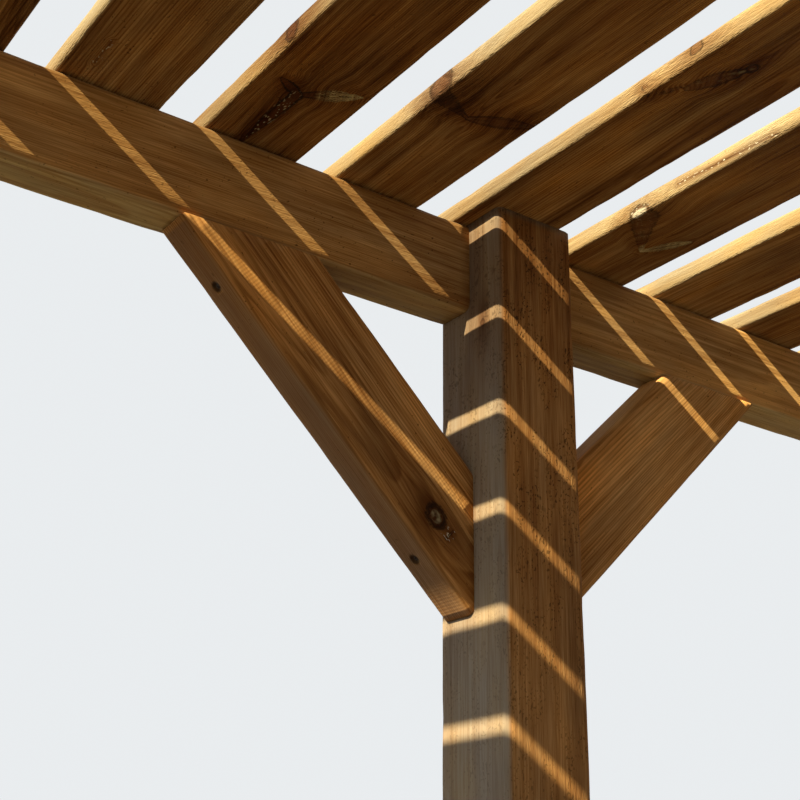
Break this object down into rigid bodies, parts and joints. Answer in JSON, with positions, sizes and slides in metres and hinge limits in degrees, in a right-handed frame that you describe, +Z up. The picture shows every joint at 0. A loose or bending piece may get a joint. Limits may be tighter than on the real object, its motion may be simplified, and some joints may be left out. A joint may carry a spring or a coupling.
{
  "type": "wooden pergola",
  "caption": "Free-standing timber pergola: square posts and beams in two rows with knee braces, carrying a flat open deck of spaced slats that gives striped shade.",
  "frame": {"origin": "on the ground, in the middle of the plan", "axes": "+X along the rows of posts, +Y across them towards the back row, +Z up"},
  "size_m": [3.823, 2.7, 2.271],
  "materials": {
    "post_timber": "planed, weathered",
    "beam_timber": "planed, weathered",
    "brace_timber": "planed, weathered",
    "slat_timber": "planed, weathered"
  },
  "bodies": {
    "root": {"front_post_1": "post_timber", "front_brace_1_right": "brace_timber", "front_beam_1": "beam_timber", "front_post_2": "post_timber", "front_brace_2_left": "brace_timber", "front_brace_2_right": "brace_timber", "front_beam_2": "beam_timber", "front_post_3": "post_timber", "front_brace_3_left": "brace_timber", "back_post_1": "post_timber", "back_brace_1_right": "brace_timber", "back_beam_1": "beam_timber", "back_post_2": "post_timber", "back_brace_2_left": "brace_timber", "back_brace_2_right": "brace_timber", "back_beam_2": "beam_timber", "back_post_3": "post_timber", "back_brace_3_left": "brace_timber", "slat_01": "slat_timber", "slat_02": "slat_timber", "slat_03": "slat_timber", "slat_04": "slat_timber", "slat_05": "slat_timber", "slat_06": "slat_timber", "slat_07": "slat_timber", "slat_08": "slat_timber", "slat_09": "slat_timber", "slat_10": "slat_timber", "slat_11": "slat_timber", "slat_12": "slat_timber", "slat_13": "slat_timber", "slat_14": "slat_timber", "slat_15": "slat_timber", "slat_16": "slat_timber", "slat_17": "slat_timber", "slat_18": "slat_timber", "slat_19": "slat_timber", "slat_20": "slat_timber", "slat_21": "slat_timber", "slat_22": "slat_timber", "slat_23": "slat_timber", "slat_24": "slat_timber", "slat_25": "slat_timber", "slat_26": "slat_timber", "slat_27": "slat_timber"}
  },
  "joints": []
}
